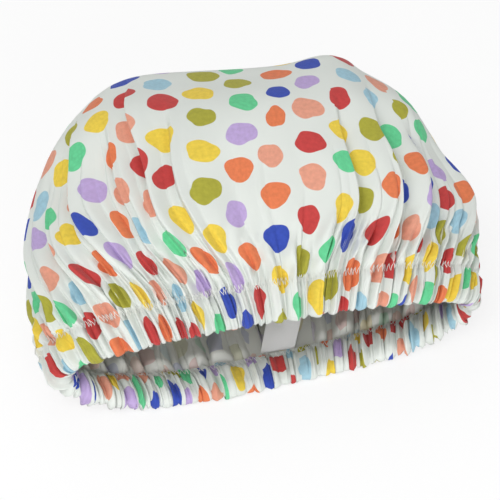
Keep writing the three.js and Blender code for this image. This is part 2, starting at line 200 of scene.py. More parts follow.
def guide(places, spans=60):
    """Curve through places with the run along it, and the run at its edge, two places before its end."""
    edge = spans * (len(places) - 3)
    p = np.array([tuple(x) for x in places], float)
    p = np.vstack([2 * p[0] - p[1], p, 2 * p[-1] - p[-2]])
    t = np.linspace(0, 1, spans, endpoint=False)[:, None]
    spanned = []
    for i in range(1, len(p) - 2):
        p0, p1, p2, p3 = p[i - 1 : i + 3]
        d0, d1, d2 = (math.sqrt(np.linalg.norm(b - a)) for a, b in ((p0, p1), (p1, p2), (p2, p3)))
        m1 = ((p1 - p0) / d0 - (p2 - p0) / (d0 + d1) + (p2 - p1) / d1) * d1
        m2 = ((p2 - p1) / d1 - (p3 - p1) / (d1 + d2) + (p3 - p2) / d2) * d1
        start = (2 * t**3 - 3 * t**2 + 1) * p1 + (t**3 - 2 * t**2 + t) * m1
        spanned.append(start + (3 * t**2 - 2 * t**3) * p2 + (t**3 - t**2) * m2)
    curve = np.vstack(spanned + [p[-2:-1]])
    run = run_along(curve)
    return curve, run, run[edge]


class Form:
    """The smooth form, as closed cross-sections at a length from the rim."""

    # Raised right end of the crease: its place across the cap and its width
    corner_at = 0.061
    corner_width = 0.020

    # Squareness of the back rim
    back_bulge = 2.4

    def __init__(self, settings, hem):
        s = settings
        wall, crease, peak = (np.array(place) for place in (s.far_wall, s.crease, s.peak))
        over = (wall + crease) / 2 + np.array((0, 0.003, 0))
        before = crease + 0.22 * (peak - crease) + np.array((0, 0, 0.0012))
        beside = np.array((s.far_corner[0] / 2, wall[1] - 0.001, wall[2]))
        halfway = (np.array(s.mouth_back) + np.array(s.foot)) / 2
        self.top = guide([s.mouth_front, s.hem_front, s.forehead, s.peak, before, s.crease, over, wall])
        self.side = guide([s.mouth_side, s.widest, s.shoulder, s.far_corner, beside, wall])
        self.back = guide([s.mouth_back, halfway, s.foot, s.foot_rise, wall])
        self.hem = hem
        self.crease = self.top[2]
        self.whole = self.top[1][-1]
        self.bulges = s.mouth_bulge, s.middle_bulge, s.crease_bulge, s.under_bulge
        self.turns = s.mouth_turn, s.rear_turn, s.crease_turn
        self.aside = s.crown_aside
        self.corner = s.corner_rise

    def guide_at(self, parts, length):
        curve, run, edge = parts
        crown = np.clip((length - self.hem) / (self.crease - self.hem), 0, 1)
        wall = np.clip((length - self.crease) / (self.whole - self.crease), 0, 1)
        at = min(length, self.hem) + crown * (edge - self.hem) + wall * (run[-1] - edge)
        return places_at(at, run, curve)

    def half(self, side, end, bulge, shares):
        """Half of a cross-section from the right side over its end to the left side."""
        angle = np.linspace(0, math.pi, 801)
        across = np.sign(np.cos(angle)) * np.abs(np.cos(angle)) ** (2 / bulge)
        along = np.sin(angle).clip(0) ** (2 / bulge)
        y = side[1] + (end[1] - side[1]) * along
        z = side[2] + (end[2] - side[2]) * along
        points = np.stack([side[0] * across, y, z], -1)
        run = run_along(points)
        return places_at(shares * run[-1], run, points)

    def ring(self, length, shares, with_corner=True):
        """Cross-section at shares of the way round: right, over the front, left and back under the cap."""
        shares = shares % 1.0
        top, side, back = (self.guide_at(g, length) for g in (self.top, self.side, self.back))
        mouth, middle, crease, under = self.bulges
        half_up = (self.hem + self.crease) / 2
        over = mouth + (middle - mouth) * smooth(self.hem, half_up, length)
        over += (crease - middle) * smooth(half_up, self.crease, length)
        below = self.back_bulge + (under - self.back_bulge) * smooth(0, 2 * self.hem, length)
        front = self.half(side, top, over, np.clip(2 * shares, 0, 1))
        rear = self.half(side, back, below, np.clip(2 - 2 * shares, 0, 1))
        points = np.where((shares < 0.5)[:, None], front, rear)
        rim, rear_rim, far = self.turns
        low = rim + (rear_rim - rim) * smooth(0.5, 0.75, np.abs(shares - 0.25) + 0.25)
        points[:, 1] += points[:, 0] * (low + (far - low) * smooth(self.hem, self.crease, length))
        raised = np.clip((points[:, 2] - side[2]) / max(0.02, top[2] - side[2]), 0, 1)
        corner = np.exp(-(((points[:, 0] - self.corner_at) / self.corner_width) ** 2)) * raised
        points[:, 2] += with_corner * self.corner * corner * smooth(half_up, self.crease, length)
        points[:, 0] += self.aside * smooth(self.hem, half_up, length)
        return points


# Cut of the cloth


class Cut:
    """The flat cloth: the far wall in the middle and, in rays that leave its edge, a band all round it."""

    def __init__(self, form, columns):
        self.form = form
        dense = 2880
        shares = np.arange(dense) / dense
        edge = form.ring(form.crease, shares, with_corner=False)[:, [0, 2]]
        edge[:, 1] -= form.guide_at(form.top, form.whole)[2]
        tangent = np.roll(edge, -1, 0) - np.roll(edge, 1, 0)
        angle = np.unwrap(np.arctan2(tangent[:, 1], tangent[:, 0]))
        soften = 60
        kernel = np.hanning(2 * soften + 1) / np.hanning(2 * soften + 1).sum()
        turn = np.roll(angle, -1) - angle
        turn[-1] += 2 * math.pi * np.sign(angle[-1] - angle[0])
        turn = np.convolve(np.r_[turn[-soften:], turn, turn[:soften]], kernel, "valid")
        angle = angle[0] + np.r_[0, np.cumsum(turn)[:-1]]
        step = steps_round(edge)
        around = np.sin(2 * math.pi * shares) ** 2
        ends = np.where(shares < 0.5, form.top[2], form.back[2])
        reach = form.side[2] + (ends - form.side[2]) * around
        hem_run = np.r_[0, np.cumsum(step + reach * np.abs(turn))]
        self.share = hem_run / hem_run[-1]
        self.edge = np.vstack([edge, edge[:1]])
        self.angle = np.r_[angle, angle[0] + turn.sum()]
        self.reach = np.r_[reach, reach[0]]
        self.wall_share = np.r_[shares, 1.0]
        mesh = np.arange(columns + 1) / columns
        wall = np.interp(mesh, self.share, self.wall_share)
        self.step = np.diff(np.interp(wall, self.wall_share, np.r_[0, np.cumsum(step)]))
        self.turn = np.abs(np.diff(np.interp(wall, self.wall_share, self.angle)))
        self.column_reach = np.interp(wall, self.wall_share, self.reach)
        self.wall = wall[:-1]
        self.front = np.interp(0.25, self.wall_share, self.share)

    def beyond(self, reach, length):
        """How far out of the wall's edge a place is on its ray, at a length from the rim."""
        form = self.form
        crown = np.clip((length - form.hem) / (form.crease - form.hem), 0, 1)
        return reach - (min(length, form.hem) + crown * (reach - form.hem))

    def widths(self, length):
        """Width of cloth between one column and the next at a length from the rim."""
        reach = (self.column_reach[:-1] + self.column_reach[1:]) / 2
        return self.step + self.beyond(reach, length) * self.turn

    def place(self, share, length):
        """Flat place of the cloth at shares of the hem and a length from the rim."""
        share = share % 1.0
        angle = np.interp(share, self.share, self.angle)
        away = self.beyond(np.interp(share, self.share, self.reach), length)
        x = np.interp(share, self.share, self.edge[:, 0]) + away * np.sin(angle)
        y = np.interp(share, self.share, self.edge[:, 1]) - away * np.cos(angle)
        return np.stack([x, y], -1)


# Folds

# Long folds: share of the way round at the hem and on the crown, length from the rim to the upper end, height
LONG_FOLDS = [
    (0.034, 0.034, 0.120, 0.0045),
    (0.072, 0.098, 0.130, 0.0060),
    (0.100, 0.131, 0.150, 0.0066),
    (0.164, 0.168, 0.140, 0.0052),
    (0.274, 0.312, 0.145, 0.0058),
    (0.303, 0.342, 0.178, 0.0058),
    (0.333, 0.368, 0.150, 0.0050),
    (0.360, 0.408, 0.160, 0.0066),
    (0.408, 0.436, 0.125, 0.0060),
    (0.466, 0.466, 0.120, 0.0045),
    (0.515, 0.515, 0.115, 0.0035),
    (0.575, 0.575, 0.110, 0.0025),
    (0.635, 0.635, 0.105, 0.0025),
    (0.695, 0.695, 0.105, 0.0020),
    (0.805, 0.805, 0.105, 0.0020),
    (0.865, 0.865, 0.105, 0.0025),
    (0.925, 0.925, 0.110, 0.0025),
    (0.980, 0.978, 0.115, 0.0040),
]


class Creases:
    """Creases round the hem. Each coarser level keeps one of every two creases of the finer one."""

    # How unlike the widths of the gathers are, and how much narrower they are at the front
    width_spread = 0.36
    front_narrowing = 0.12

    def __init__(self, count, levels, columns, front, rng):
        width = np.exp(self.width_spread * rng.standard_normal(count))
        width *= 1 - self.front_narrowing * np.cos(2 * math.pi * (np.arange(count) / count - front))
        starts = np.cumsum(width) / width.sum()
        starts = np.unique(np.round(starts * columns).astype(int) % columns)
        self.columns = columns
        self.on_left = (np.arange(columns) / columns - front) % 1.0 < 0.5
        self.starts, self.strength, self.lean, self.reach = [], [], [], []
        for _ in range(levels):
            self.starts.append(starts)
            self.strength.append(0.6 + 0.8 * rng.random(len(starts)))
            self.lean.append(rng.uniform(-1, 1, len(starts)))
            self.reach.append(rng.uniform(0.6, 1.35, len(starts)))
            kept = [2 * i + int(rng.random() < 0.5) for i in range(len(starts) // 2)]
            starts = starts[kept]

    def panels(self, level):
        """First column, number of columns and index of the panel that holds each column."""
        starts = self.starts[level]
        column = np.arange(self.columns)
        at = np.searchsorted(starts, column, "right") - 1
        first = starts[at]
        count = (np.roll(starts, -1) - starts) % self.columns
        return np.where(at < 0, starts[-1] - self.columns, first), count[at], at % len(starts)

    def height(self, level, skew, flat_top=0.62):
        """Height of the cloth, 0 in a crease and about 1 on a ridge, with its lean and its reach."""
        first, count, at = self.panels(level)
        across = (np.arange(self.columns) - first) / count
        outwards = np.where(self.on_left, across, 1 - across)
        ridge = np.sin(math.pi * outwards**skew).clip(0) ** flat_top
        width = count * len(self.starts[level]) / self.columns
        size = self.strength[level][at] * np.minimum(1.3, width**0.7)
        return size * ridge, self.lean[level][at] * size * ridge, self.reach[level][at]


# Gathers of one level: height, where they fade out above the hem, gain round the cap, skew of a ridge,
# share of the height that sinks into the form, and how far every ridge leans away from the front
Band = namedtuple("Band", "level depth start end gain skew sink over")


class Cloth:
    """Grid of the gathered cloth: rows from its turned-in edge round the rim and over the crown."""

    # Above the hem, where the long folds reach their places on the crown
    fold_reach = 0.080

    # Share of the way to its foot at the hem that a long fold pulls its column
    foot_pull = 0.35

    # Share of their spread on the crown that the front columns have at the rim
    rim_spread = 0.06

    # Share of the outer folds that the turned-in layer of the hem mirrors
    mirrored = 0.75

    # Share of its height that a gather keeps where the cap lies on it
    pressed_height = 0.25

    # Above the hem, where pleats and folds stop cutting the print. The long folds go on cutting it.
    print_ends = 0.016, 0.056, None

    # Middle of the label, where the cloth under it lies flatter
    label_at = 0.009

    def __init__(self, scene):
        self.folds = scene.cap_folds
        self.hem = self.folds.hem_depth
        self.form = Form(scene.cap_form, self.hem)
        self.columns = self.folds.columns
        self.cut = Cut(self.form, self.columns)
        rng = np.random.default_rng(self.folds.seed)
        self.creases = Creases(self.folds.gathers, 3, self.columns, self.cut.front, rng)
        self.waves = rng.uniform(0, 2 * math.pi, 12)
        self.wrinkles = []
        for _ in range(12):
            self.wrinkles.append((rng.integers(36, 150), rng.uniform(0.002, 0.006), rng.uniform(0, 6.28)))
        # How much a column belongs to the back, the front and the sides, and how high its spreading goes on
        from_front, from_back = np.abs(self.cut.wall - 0.25), np.abs(self.cut.wall - 0.75)
        self.rear = 1 - smooth(0.15, 0.22, from_back)
        self.fore = 1 - smooth(0.06, 0.155, from_front)
        self.beside = smooth(0.10, 0.20, from_front) * (1 - self.rear)
        self.fan_height = 0.050 + 0.045 * smooth(0.05, 0.20, from_front)
        # Away from the front: 1 on the left and -1 on the right
        self.out = np.where(self.creases.on_left, 1.0, -1.0)
        self.lay_folds()
        self.lay_rows()
        self.place()
        self.lay_print()

    def lay_folds(self):
        """Column that each long fold keeps to, and how far it pulls that column towards its foot."""
        on_crown = self.spread(self.hem + self.fold_reach)
        at_hem = self.spread(self.hem)
        found = []
        for foot, crown, end, height in LONG_FOLDS:
            column = int(np.argmin(np.abs(share_apart(on_crown, crown))))
            found.append((column, -self.foot_pull * share_apart(at_hem[column], foot), end, height))
        self.long_folds = sorted(found)
        columns = np.array([fold[0] for fold in self.long_folds])
        pulls = [fold[1] for fold in self.long_folds]
        self.pull = np.interp(np.arange(self.columns), columns, pulls, period=self.columns)
        count = (np.roll(columns, -1) - columns) % self.columns
        at = (np.searchsorted(columns, np.arange(self.columns), "right") - 1) % len(columns)
        start = np.where(np.arange(self.columns) < columns[0], columns[-1] - self.columns, columns[at])
        self.panel, self.panel_middle = at, start + count[at] / 2

    def lay_rows(self):
        """Length from the rim, depth below the outer face and stand of the folds, for each row."""
        f = self.folds
        thick = f.casing_thickness
        turned = np.array([0.95, 0.91, 0.86, 0.78, 0.64, 0.47, 0.30, 0.18]) * self.hem
        pinch_in = 0.32 * np.exp(-((np.minimum(turned - f.stitch_line, 0) / 0.0034) ** 2))
        turn = np.linspace(0, math.pi, 7)[1:-1]
        outer = np.array([0.18, 0.30, 0.47, 0.64, 0.78, 0.86, 0.92, 1.0]) * self.hem
        rise = self.form.crease - self.hem
        steps = np.cumsum(np.linspace(0.5, 1.15, 40))
        crown = self.hem + rise * steps / steps[-1]
        wall = self.form.crease + (self.form.whole - self.form.crease) * np.linspace(0, 1, 9)[1:]
        rim = 0.10 * self.hem
        self.length = np.r_[turned, rim - self.mirrored * thick * np.sin(turn), outer, crown, wall]
        depth_turned = thick * (1 - pinch_in)
        depth_rim = thick * (1 + np.cos(turn)) / 2
        # The crown swells out just above the hem
        depth_crown = -0.0018 * smooth(self.hem, self.hem + 0.012, crown)
        depth_crown *= 1 - smooth(self.hem + 0.02, self.hem + 0.07, crown)
        self.depth = np.r_[depth_turned, depth_rim, thick * self.pinch(outer), depth_crown, 0 * wall]
        stand_rim = -self.mirrored * np.cos(turn) ** 3 + 0.25 * (1 - np.cos(turn)) * np.sin(turn)
        stand_turned = 0.4 * smooth(f.stitch_line - 0.005, f.stitch_line + 0.002, turned) - self.mirrored
        self.stand = np.r_[stand_turned, stand_rim, 1 + 0 * outer, 1 + 0 * crown, 1 + 0 * wall]
        self.turned = len(turned)
        self.first_outer = len(turned) + len(turn)
        self.first_crown = self.first_outer + len(outer)
        self.first_wall = self.first_crown + len(crown)
        self.rows = len(self.length)
        self.cut_length = self.length.copy()
        self.cut_length[: len(turned)] = -turned
        self.cut_length[len(turned) : self.first_outer] = np.linspace(-0.1, 0.1, len(turn)) * self.hem

    def pinch(self, length):
        """How far the seam draws the outer layer in, as a share of the casing."""
        return 0.50 * np.exp(-(((length - self.folds.stitch_line) / 0.0026) ** 2))

    def spread(self, length):
        """Shares of the way round of columns whose front cloth spreads out upwards, later at the sides."""
        length = max(0.0, min(length, self.form.crease))
        widths = self.cut.widths(length)
        ring = self.form.ring(length, np.arange(720) / 720)
        fullness = widths.sum() / steps_round(ring).sum() - 1
        at = np.arange(self.columns + 1) / self.columns

        def spaced(spread):
            weight = widths * (1 + self.folds.fan_out * fullness * spread * self.fore)
            run = np.r_[0, np.cumsum(weight)] / weight.sum()
            return 0.25 + run[:-1] - np.interp(self.cut.front, at, run)

        done = smooth(self.hem - 0.004, self.hem + self.fan_height, length)
        at_rim = spaced(self.rim_spread)
        return at_rim + (spaced(1.0) - at_rim) * done

    def shares(self, length):
        """Shares of the way round at which the columns stand, with the long folds in their places."""
        shares = self.spread(length) + self.pull * (1 - smooth(self.hem, self.hem + self.fold_reach, length))
        w = self.waves
        a = 2 * math.pi * shares
        sway = np.sin(3 * a + length / 0.031 + w[0]) + np.sin(7 * a - length / 0.022 + w[1])
        sway = sway + 0.7 * np.sin(13 * a + length / 0.014 + w[2])
        return shares + 0.0022 * sway * smooth(self.hem, self.hem + 0.05, length)

    def long_fold_heights(self, length):
        """Height of the long folds: a gentle slope up to each line, then a steep drop away from the front."""
        f = self.folds
        shares = self.shares(length)
        ring = self.form.ring(min(length, self.form.crease), np.arange(360) / 360)
        round_ring = steps_round(ring).sum()
        height = np.zeros(self.columns)
        lean = np.zeros(self.columns)
        for column, _, end, size in self.long_folds:
            fade = 1 - smooth(end - 0.055, end, length)
            size = size * fade * (0.3 + 0.7 * smooth(self.hem, self.hem + 0.035, length))
            size = size * smooth(0.3 * self.hem, self.hem, length)
            away = share_apart(shares, shares[column]) * round_ring * self.out[column]
            slope = 1 - smooth(0, f.slope_width, -away)
            drop = smooth(0, f.drop_width, away)
            valley = drop * (1 - smooth(f.drop_width, f.slope_width, away))
            height += size * (np.where(away < 0, slope, 1 - drop) - 0.75 * valley)
            lean += size * 0.6 * self.out[column] * np.where(away < 0, slope**2, 1 - drop)
        return height, lean

    def fold_heights(self, length):
        """How far each column stands off the form at a length, and how far it leans along the hem."""
        f = self.folds
        above = length - self.hem
        low = smooth(-0.004, 0.013, above)
        crinkle = 0.48 * f.gather_depth * (1 - 0.6 * low)
        pleat = f.gather_depth + (f.pleat_depth - f.gather_depth) * low
        fold = f.fold_depth * smooth(-0.002, 0.030, above) + 0.3 * f.gather_depth * (1 - low)
        bands = (
            Band(0, crinkle, -0.006, 0.010, 1.0, 1.0, 0.5, 0.0),
            Band(1, pleat, 0.004, 0.034, 1 - 0.1 * self.fore, 1.0, 0.5, 0.0),
            Band(2, fold, 0.038, 0.096, 1 - 0.7 * self.fore, 1.5, 0.6, 0.3),
        )
        height, lean = self.long_fold_heights(length)
        for b in bands:
            ridge, tilt, reach = self.creases.height(b.level, b.skew, 0.62 if b.level == 2 else 1.0)
            fade = 1 - smooth(b.start, b.end, above / reach)
            sunk = fade.mean() * (0.3 + (b.sink - 0.3 + 0.4 * self.beside) * smooth(-0.004, 0.020, above))
            height += b.depth * b.gain * (ridge * fade - sunk)
            sway = b.over * self.out * ridge + (0.55 - 0.1 * low - b.over) * tilt
            lean += b.depth * b.gain * fade * sway
        # Shallow dents of the crown, small wrinkles near the hem and soft waves of the far wall
        a = 2 * math.pi * np.arange(self.columns) / self.columns
        w = self.waves
        dent = np.sin(2 * a + length / 0.04 + w[4]) + np.sin(5 * a - length / 0.027 + w[5])
        dent = dent + np.sin(9 * a + length / 0.019 + w[6])
        height += 0.0007 * dent * smooth(0.01, 0.05, above)
        near_hem = smooth(-0.020, -0.006, above) * (1 - smooth(0.012, 0.045, above))
        for number, run, phase in self.wrinkles:
            height += f.crumple * near_hem * np.sin(number * a + length / run + phase) / 2.5
        inwards = smooth(self.form.crease, self.form.whole, length)
        round_wall = 2 * math.pi * self.cut.wall
        soft = np.sin(2 * round_wall + w[7]) + np.sin(3 * round_wall + 4 * inwards + w[8])
        soft = soft + 0.6 * np.sin(5 * round_wall - 3 * inwards + w[9])
        return height * (1 - inwards) + 0.0034 * inwards * (1 - inwards) * soft, lean * (1 - inwards)

    def lying_heights(self, length):
        """Height of the folds of the part that lies down: creases on the floor and arches between them."""
        above = length - self.hem
        broad = self.creases.height(2, 1.0)[0]
        narrow = self.creases.height(1, 1.0)[0]
        rise = smooth(-0.004, 0.008, above) * (1 - smooth(0.040, 0.095, above))
        return -self.folds.rear_depth * rise * (broad + 0.3 * narrow * (1 - smooth(0.008, 0.030, above)))

    def place(self):
        """Places every grid point: the form, its outward direction, then depth, folds and the floor."""
        f = self.folds
        points = np.zeros((self.rows, self.columns, 3))
        scallop = f.rim_scallop * (1 - self.creases.height(1, 1.0)[0])
        for row, length in enumerate(self.length):
            shares = self.shares(length)
            here = self.form.ring(max(0.0, length), shares)
            near = self.form.ring(max(0.0, length - 0.002), shares)
            far = self.form.ring(max(0.0, length) + 0.002, shares)
            if length < 0:
                here = here + (far - here) / 0.002 * length
            sideways = np.roll(here, -1, 0) - np.roll(here, 1, 0)
            outward = np.cross(far - near, sideways)
            has_size = np.linalg.norm(outward, axis=1, keepdims=True) > 1e-12
            outward = np.where(has_size, unit(outward), (0, 1, 0))
            sideways = unit(sideways)
            height, lean = self.fold_heights(length)
            lying = smooth(0.5, 0.9, -outward[:, 2])
            depth = np.full(self.columns, self.depth[row])
            pressed = self.pressed_height * (height - np.percentile(height[self.rear > 0.5], 85))
            if row >= self.first_crown:
                by_label = 1 - smooth(0.015, 0.027, np.abs(here[:, 0] - self.label_at))
                height += lying * (self.lying_heights(length) * (1 - 0.9 * by_label) - height)
            elif row >= self.first_outer:
                height += lying * (pressed - height)
                depth *= 1 - 0.6 * lying
            off = height * self.stand[row] - depth
            if row < self.turned:
                outer = height + lying * (pressed - height)
                outer -= f.casing_thickness * self.pinch(length) * (1 - 0.6 * lying)
                off = np.minimum(off, outer - f.casing_room)
            upward = unit(far - near)
            drawn = scallop * (1 - smooth(0.002, 0.014, length))
            points[row] = here + outward * off[:, None] + sideways * lean[:, None] + upward * drawn[:, None]
            points[row, :, 2] = np.maximum(points[row, :, 2], f.floor_gap + np.maximum(0, depth))
        points[-1] = points[-1].mean(0)
        self.points = points
        along = np.gradient(points, axis=0)
        round_ring = np.roll(points, -1, 1) - np.roll(points, 1, 1)
        self.normal = unit(np.cross(along, round_ring))
        self.normal[-1] = (0, 1, 0)

    def lay_print(self):
        """Flat place of each column on either side of it. Cloth that a crease hides is passed over there."""
        column = np.arange(self.columns)
        levels = []
        for level in (1, 2):
            first, count, at = self.creases.panels(level)
            levels.append((at, first + count / 2, len(self.creases.starts[level])))
        levels.append((self.panel, self.panel_middle, len(self.long_folds)))
        self.print_left = np.zeros((self.rows, self.columns, 2))
        self.print_right = np.zeros((self.rows, self.columns, 2))
        steps = np.linalg.norm(np.roll(self.points, -1, 1) - self.points, axis=2)
        wall_height = self.points[-1, 0, 2]
        for row in range(self.rows):
            if row >= self.first_wall:
                length = self.length[row]
                ring = self.form.ring(length, self.shares(length), with_corner=False)
                flat = ring[:, [0, 2]] - (0, wall_height)
                self.print_left[row] = flat
                self.print_right[row] = np.roll(flat, -1, 0)
                continue
            length = self.cut_length[row]
            above = length - self.hem
            widths = self.cut.widths(length)
            for side, flat in ((0, self.print_left), (1, self.print_right)):
                placed = (column + side).astype(float)
                left = 1.0
                for (at, middle, number), end in zip(levels, self.print_ends):
                    weight = left * (1 - smooth(end - 0.014, end + 0.014, above)) if end else left
                    left -= weight
                    share = np.bincount(at, steps[row], number) / np.bincount(at, widths, number)
                    placed += weight * (1 - np.minimum(1.0, share)[at]) * (middle - column - side)
                flat[row] = self.cut.place(placed / self.columns, length)

    def on_hem(self, share, length, lift, turned_in=False):
        """A place on the hem at a share of the way round and a length from the rim, lifted off the cloth."""
        rows = np.arange(self.turned)[::-1] if turned_in else np.arange(self.first_outer, self.first_wall)
        at = np.interp(length, self.length[rows], np.arange(len(rows)))
        low = min(int(at), len(rows) - 2)
        column = (share % 1.0) * self.columns
        left = int(column) % self.columns
        right = (left + 1) % self.columns
        u, v = at - low, column - int(column)

        def mixed(grid):
            lower = grid[rows[low], left] * (1 - v) + grid[rows[low], right] * v
            upper = grid[rows[low + 1], left] * (1 - v) + grid[rows[low + 1], right] * v
            return lower * (1 - u) + upper * u

        return mixed(self.points) + lift * mixed(self.normal)


made = {}


def cloth_grid(scene):
    if "cloth" not in made:
        made["cloth"] = Cloth(scene)
    return made["cloth"]


# Meshes


def mesh_from(name, bm):
    """Makes a bmesh a smooth mesh whose faces point one way."""
    for face in bm.faces:
        face.smooth = True
    bmesh.ops.recalc_face_normals(bm, faces=bm.faces)
    mesh = bpy.data.meshes.new(name)
    bm.to_mesh(mesh)
    bm.free()
    return mesh


def grid_mesh(name, points, print_left, print_right):
    """Mesh of a grid of points that closes round its columns and at a row that is one point."""
    rows, columns = points.shape[:2]
    bm = bmesh.new()
    bmesh.ops.create_grid(bm, x_segments=columns, y_segments=rows - 1, size=0.5)
    spot = bm.verts.layers.int.new("spot")
    for vert in bm.verts:
        column = round((vert.co.x + 0.5) * columns)
        row = round((vert.co.y + 0.5) * (rows - 1))
        vert[spot] = row * (columns + 1) + column
        vert.co = points[row, column % columns]
    flat = bm.loops.layers.uv.new("cut")
    for face in bm.faces:
        spots = [divmod(loop.vert[spot], columns + 1) for loop in face.loops]
        first = min(column for row, column in spots)
        for loop, (row, column) in zip(face.loops, spots):
            loop[flat].uv = print_left[row, first] if column == first else print_right[row, first]
    bmesh.ops.remove_doubles(bm, verts=bm.verts, dist=1e-7)
    return mesh_from(name, bm)


def thread_mesh(name, path, radius, closed):
    """Mesh of a round thread along a path."""
    curve = bpy.data.curves.new(name, "CURVE")
    curve.dimensions = "3D"
    curve.bevel_depth = radius
    curve.bevel_resolution = 1
    spline = curve.splines.new("POLY")
    spline.points.add(len(path) - 1)
    for point, place in zip(spline.points, path):
        point.co = (*place, 1.0)
    spline.use_cyclic_u = closed
    holder = bpy.data.objects.new(name, curve)
    mesh = bpy.data.meshes.new_from_object(holder)
    mesh.name = name
    bpy.data.objects.remove(holder)
    bpy.data.curves.remove(curve)
    for face in mesh.polygons:
        face.use_smooth = True
    return mesh


def strip_mesh(name, rows, thickness=0.0):
    """Mesh of a strip from rows of places, made thick where a thickness is given."""
    rows = np.asarray(rows)
    down, across = len(rows) - 1, len(rows[0]) - 1
    bm = bmesh.new()
    bmesh.ops.create_grid(bm, x_segments=across, y_segments=down, size=0.5)
    for vert in bm.verts:
        vert.co = rows[round((vert.co.y + 0.5) * down), round((vert.co.x + 0.5) * across)]
    if thickness:
        bmesh.ops.solidify(bm, geom=bm.faces[:], thickness=thickness)
    return mesh_from(name, bm)


def zigzag(cloth, turned_in):
    """Path of the seam round the casing: a leg up and a leg down for each stitch, dipping into the cloth."""
    f = cloth.folds
    shares = np.arange(cloth.columns + 1) / cloth.columns
    seam = np.array([cloth.on_hem(share, f.stitch_line, 0, turned_in) for share in shares])
    run = run_along(seam)
    legs = 2 * round(run[-1] / f.stitch_pitch)
    path = []
    for leg in range(legs):
        for part in (0, 0.25, 0.5, 0.75):
            share = np.interp((leg + part) / legs, run / run[-1], shares)
            up = part if leg % 2 == 0 else 1 - part
            lift = f.thread * (0.1 + 0.9 * math.sin(math.pi * part))
            path.append(cloth.on_hem(share, f.stitch_line + f.stitch_height * (up - 0.5), lift, turned_in))
    return path


def turn_outwards(mesh):
    """Turns the faces round where the one at the top of the crown points down."""
    top = max(mesh.polygons, key=lambda face: face.center.z)
    if top.normal.z < 0:
        mesh.flip_normals()


def link_object(name, data):
    obj = bpy.data.objects.new(name, data)
    bpy.context.scene.collection.objects.link(obj)
    return obj


def add_piece(name, mesh, material):
    obj = link_object(name, mesh)
    mesh.materials.append(material)
    return obj


def follow_halves(obj):
    """Bakes the transform of the piece into its mesh; the piece does not bend between the halves."""
    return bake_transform(obj)


# Materials


def mix_shaders(tree, share, first, second, output):
    """Feeds an output with two shaders, mixed by a share from a socket or by a number."""
    both = tree.nodes.new("ShaderNodeMixShader")
    if isinstance(share, bpy.types.NodeSocket):
        tree.links.new(share, both.inputs[0])
    else:
        both.inputs[0].default_value = share
    tree.links.new(first, both.inputs[1])
    tree.links.new(second, both.inputs[2])
    tree.links.new(both.outputs[0], tree.nodes[output].inputs[0])


class Shader:
    """Node tree of a material, with short ways to add nodes."""

    def __init__(self, name):
        self.material = bpy.data.materials.new(name)
        self.material.use_nodes = True
        self.tree = self.material.node_tree
        self.surface = next(n for n in self.tree.nodes if n.type == "BSDF_PRINCIPLED")

    def add(self, kind, **inputs):
        node = self.tree.nodes.new(kind)
        for name, value in inputs.items():
            self.feed(node.inputs[name.replace("_", " ")], value)
        return node

    def feed(self, socket, value):
        if isinstance(value, bpy.types.NodeSocket):
            self.tree.links.new(value, socket)
        else:
            socket.default_value = value

    def math(self, operation, *values):
        node = self.tree.nodes.new("ShaderNodeMath")
        node.operation = operation
        for socket, value in zip(node.inputs, values):
            self.feed(socket, value)
        return node.outputs[0]

    def spread(self, value, low, high, to_low=0.0, to_high=1.0, kind="LINEAR"):
        node = self.tree.nodes.new("ShaderNodeMapRange")
        node.interpolation_type = kind
        for socket, given in zip(node.inputs, (value, low, high, to_low, to_high)):
            self.feed(socket, given)
        return node.outputs[0]

    def mix(self, factor, first, second, blend="MIX"):
        node = self.tree.nodes.new("ShaderNodeMix")
        node.data_type = "RGBA"
        node.blend_type = blend
        for socket, value in zip((node.inputs[0], node.inputs[6], node.inputs[7]), (factor, first, second)):
            self.feed(socket, value)
        return node.outputs[2]

    def bump(self, height, strength, distance):
        node = self.add("ShaderNodeBump", Height=height, Strength=strength, Distance=distance)
        self.feed(self.surface.inputs["Normal"], node.outputs["Normal"])

    def finish(self, **values):
        for name, value in values.items():
            self.feed(self.surface.inputs[name.replace("_", " ")], value)
        return self.material

    def let_light_through(self, colour, share):
        """Mixes in the light that comes through a thin sheet from behind."""
        glow = self.add("ShaderNodeBsdfTranslucent", Color=colour)
        mix_shaders(self.tree, share, self.surface.outputs[0], glow.outputs[0], "Material Output")


def rgba(colour):
    return (*colour, 1.0)


# Colours of the printed dots
DOT_COLOURS = [
    (0.58, 0.060, 0.058),
    (0.14, 0.64, 0.31),
    (0.80, 0.22, 0.090),
    (0.38, 0.61, 0.72),
    (0.86, 0.64, 0.075),
    (0.040, 0.082, 0.46),
    (0.80, 0.36, 0.25),
    (0.43, 0.41, 0.050),
    (0.53, 0.40, 0.70),
]


